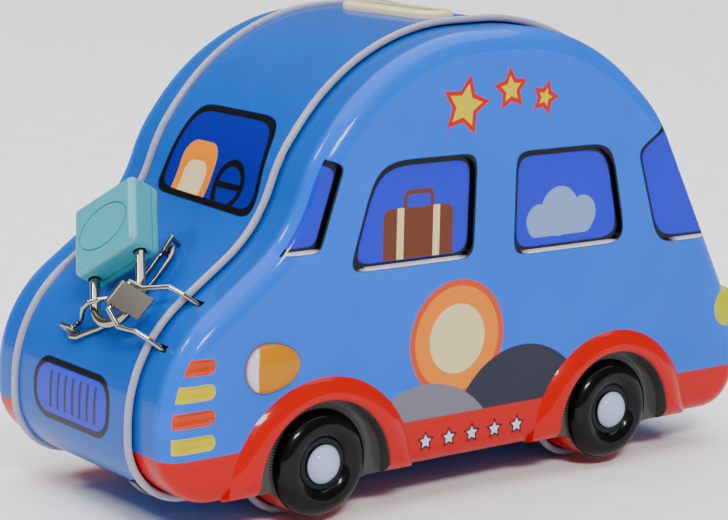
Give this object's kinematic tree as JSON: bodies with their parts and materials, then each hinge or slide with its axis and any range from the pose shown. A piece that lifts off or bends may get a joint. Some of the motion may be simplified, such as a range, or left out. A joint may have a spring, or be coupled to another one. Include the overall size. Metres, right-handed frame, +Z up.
{
  "type": "tin money box",
  "caption": "Pressed tin money box shaped like a round-roofed toy car, with a coin slot in the roof and a hinged side held by a wire clasp and a small padlock.",
  "frame": {"origin": "middle of the bounding box at ground level, under the wheels", "axes": "+X to the car's front, +Y to its left side with the lid, +Z up"},
  "size_m": [0.1882, 0.0848, 0.1162],
  "materials": {
    "litho_tin": "glossy lithographed tin",
    "cream_paint": "cream enamel",
    "plated_steel": "worn nickel plate",
    "padlock_paint": "pale teal lacquer",
    "padlock_steel": "plain steel",
    "brass_plug": "plain brass"
  },
  "bodies": {
    "body": {"centre_band": "litho_tin", "right_side_shell": "litho_tin", "coin_slot_bezel": "cream_paint", "hinge_leaf_body": "plated_steel", "hinge_pin": "plated_steel", "hinge_rivets_body": "plated_steel", "corner_tab": "plated_steel", "keeper_ring": "plated_steel", "keeper_staple_front": "plated_steel", "keeper_staple_rear": "plated_steel"},
    "lid": {"left_side_shell": "litho_tin", "hinge_leaf_lid": "plated_steel", "hinge_rivets_lid": "plated_steel"},
    "bail": {"clasp_bail": "plated_steel"},
    "lever": {"clasp_lever": "plated_steel"},
    "padlock": {"padlock_cover": "padlock_paint", "padlock_core": "padlock_steel", "padlock_end_plate": "padlock_steel"},
    "plug": {"padlock_plug": "brass_plug"},
    "shackle": {"padlock_shackle": "plated_steel"}
  },
  "joints": [
    {"name": "lid_hinge", "type": "hinge", "parent": "body", "child": "lid", "pos_m": [-0.0926, 0.0259, 0.022], "axis": [0, 0, 1], "range_deg": [0, 105]},
    {"name": "bail_swing", "type": "hinge", "parent": "lid", "child": "bail", "pos_m": [0.0812, 0.0292, 0.04845], "axis": [-0.7071, 0, 0.7071], "range_deg": [0, 50]},
    {"name": "lever_flip", "type": "hinge", "parent": "bail", "child": "lever", "pos_m": [0.0894, 0.0175, 0.05665], "axis": [0.7071, 0, -0.7071], "range_deg": [0, 100]},
    {"name": "padlock_lift", "type": "hinge", "parent": "body", "child": "padlock", "pos_m": [0.08771, 0.01248, 0.05188], "axis": [-0.3238, 0.7798, 0.5358], "range_deg": [0, 10]},
    {"name": "shackle_slide", "type": "slide", "parent": "padlock", "child": "shackle", "axis": [0.3647, 0.6254, -0.6898], "range_m": [0, 0.005]},
    {"name": "plug_turn", "type": "hinge", "parent": "padlock", "child": "plug", "pos_m": [0.08014, -0.0005, 0.0662], "axis": [0.3647, 0.6254, -0.6898], "range_deg": [0, 90]}
  ]
}
